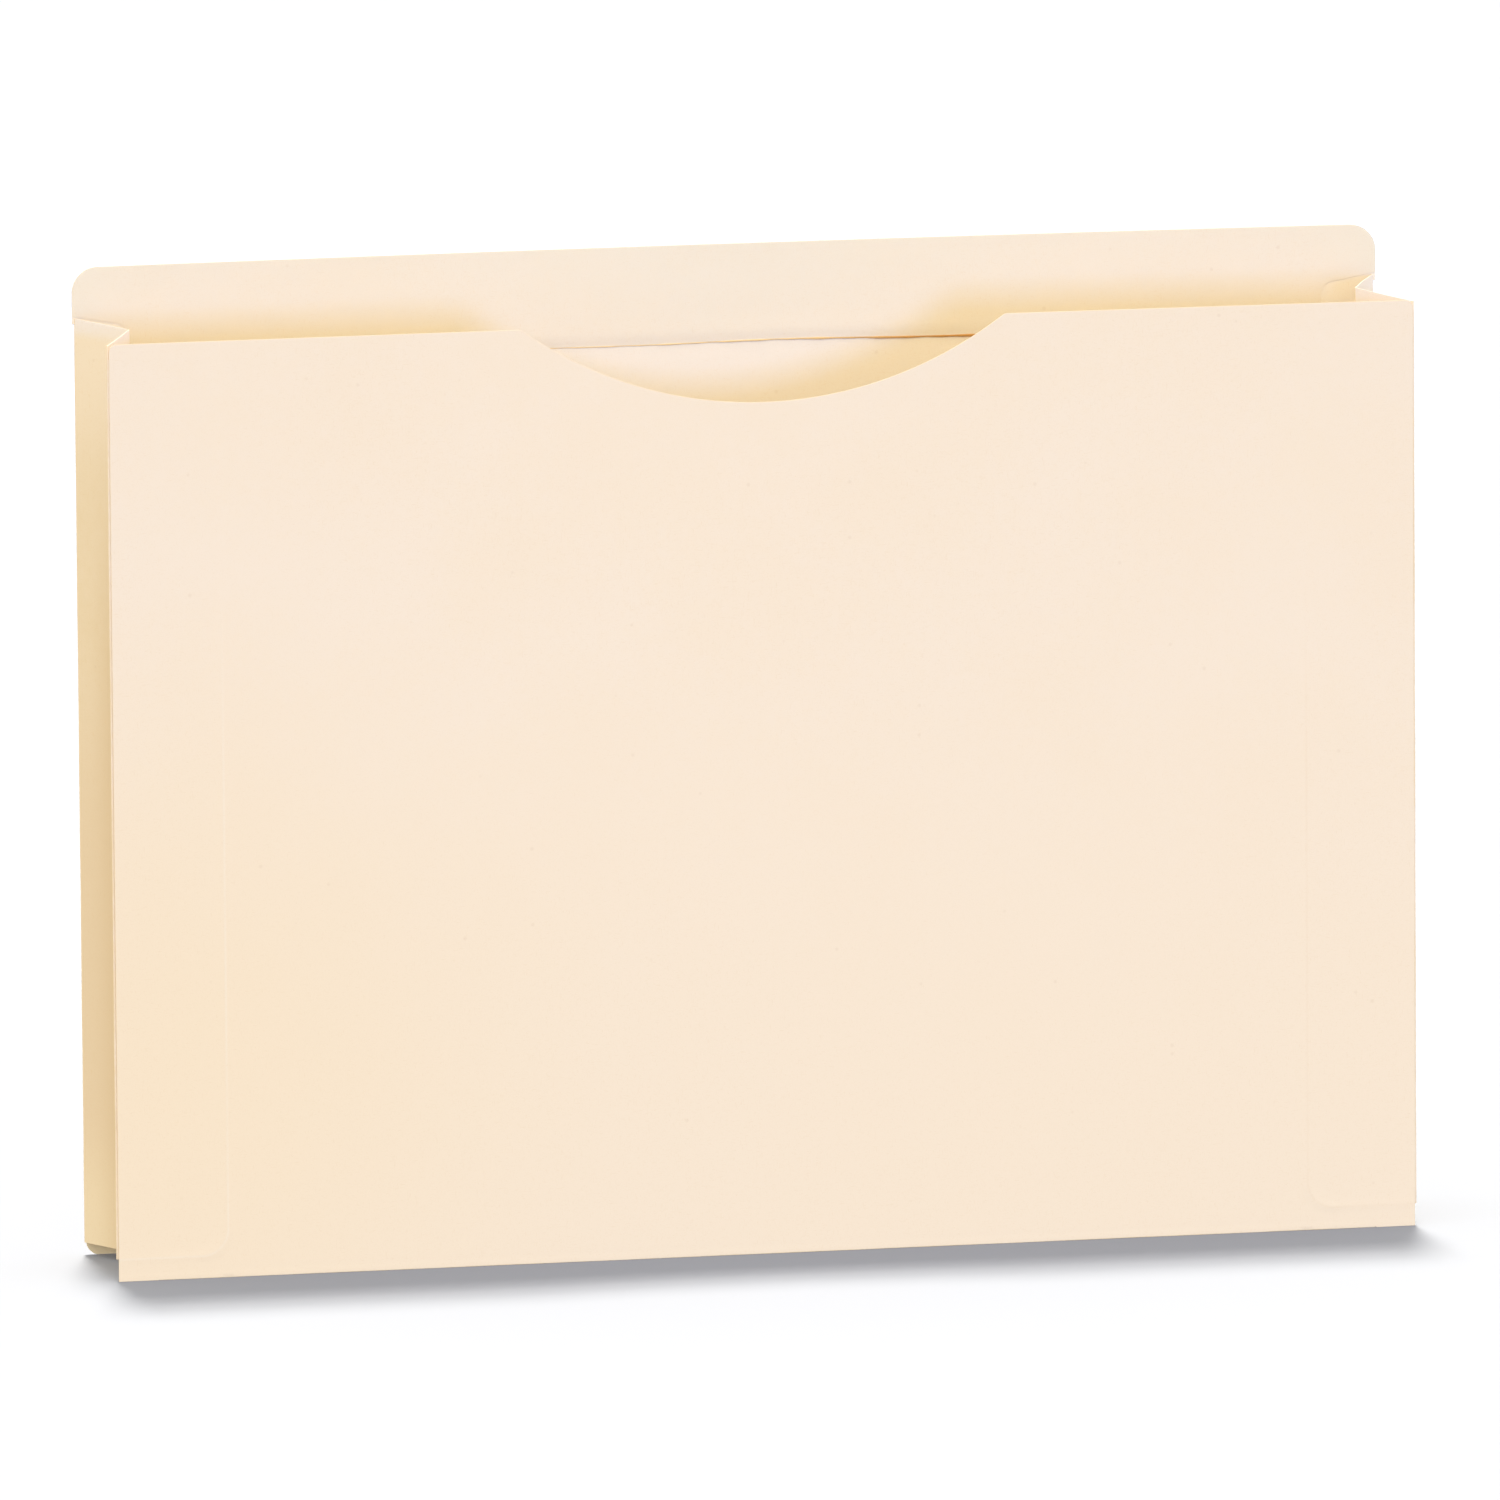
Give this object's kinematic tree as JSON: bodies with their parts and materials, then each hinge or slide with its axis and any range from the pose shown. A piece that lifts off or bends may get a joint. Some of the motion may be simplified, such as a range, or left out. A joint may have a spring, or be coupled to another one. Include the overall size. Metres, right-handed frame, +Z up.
{
  "type": "file jacket",
  "caption": "Manila expansion file jacket, open at the top, with a straight reinforced tab, a thumb cut, bellows gussets at the sides and a flat scored bottom that folds shut.",
  "frame": {"origin": "middle of the opened bottom, on the surface that the jacket stands on", "axes": "+X across the jacket to the right seen from the front, +Y from the front to the back, +Z up"},
  "size_m": [0.2984, 0.0384, 0.2222],
  "materials": {
    "manila_board": "matt",
    "dried_glue": "satin"
  },
  "bodies": {
    "back": {"back_panel": "manila_board", "tab_ply": "manila_board", "tab_adhesive": "dried_glue", "left_back_crease": "manila_board", "right_back_crease": "manila_board", "bottom_back_crease": "manila_board"},
    "bottom_back": {"bottom_back_panel": "manila_board", "bottom_centre_crease": "manila_board"},
    "bottom_front": {"bottom_front_panel": "manila_board"},
    "front": {"front_panel": "manila_board", "left_glue_flap": "manila_board", "right_glue_flap": "manila_board", "left_flap_adhesive": "dried_glue", "right_flap_adhesive": "dried_glue", "left_front_crease": "manila_board", "right_front_crease": "manila_board", "bottom_front_crease": "manila_board"},
    "left_gusset_rear": {"left_gusset_back": "manila_board", "left_centre_crease": "manila_board"},
    "left_gusset_fore": {"left_gusset_front": "manila_board"},
    "right_gusset_rear": {"right_gusset_back": "manila_board", "right_centre_crease": "manila_board"},
    "right_gusset_fore": {"right_gusset_front": "manila_board"}
  },
  "joints": [
    {"name": "bottom_back_fold", "type": "hinge", "parent": "back", "child": "bottom_back", "pos_m": [0, 0.01905, 0.00015], "axis": [1, 0, 0], "range_deg": [0, 85]},
    {"name": "bottom_centre_fold", "type": "hinge", "parent": "bottom_back", "child": "bottom_front", "pos_m": [0, 0, 0.0003], "axis": [1, 0, 0], "range_deg": [-170, 0]},
    {"name": "bottom_front_fold", "type": "hinge", "parent": "bottom_front", "child": "front", "pos_m": [0, -0.01905, 0.00015], "axis": [1, 0, 0], "range_deg": [0, 85]},
    {"name": "left_back_fold", "type": "hinge", "parent": "back", "child": "left_gusset_rear", "pos_m": [-0.14847, 0.0189, 0.105], "axis": [0, 0, 1], "range_deg": [0, 61.84]},
    {"name": "left_centre_fold", "type": "hinge", "parent": "left_gusset_rear", "child": "left_gusset_fore", "pos_m": [-0.14013, 0.00017, 0.105], "axis": [0, 0, 1], "range_deg": [-123.67, 0]},
    {"name": "right_back_fold", "type": "hinge", "parent": "back", "child": "right_gusset_rear", "pos_m": [0.14847, 0.0189, 0.105], "axis": [0, 0, 1], "range_deg": [-61.84, 0]},
    {"name": "right_centre_fold", "type": "hinge", "parent": "right_gusset_rear", "child": "right_gusset_fore", "pos_m": [0.14013, 0.00017, 0.105], "axis": [0, 0, 1], "range_deg": [0, 123.67]}
  ],
  "couplings": [
    {"joint": "bottom_centre_fold", "follows": "bottom_back_fold", "ratio": -2},
    {"joint": "bottom_front_fold", "follows": "bottom_back_fold", "ratio": 1},
    {"joint": "left_back_fold", "follows": "bottom_back_fold", "ratio": 0.72739},
    {"joint": "left_centre_fold", "follows": "bottom_back_fold", "ratio": -1.4548},
    {"joint": "right_back_fold", "follows": "bottom_back_fold", "ratio": -0.72739},
    {"joint": "right_centre_fold", "follows": "bottom_back_fold", "ratio": 1.4548}
  ]
}
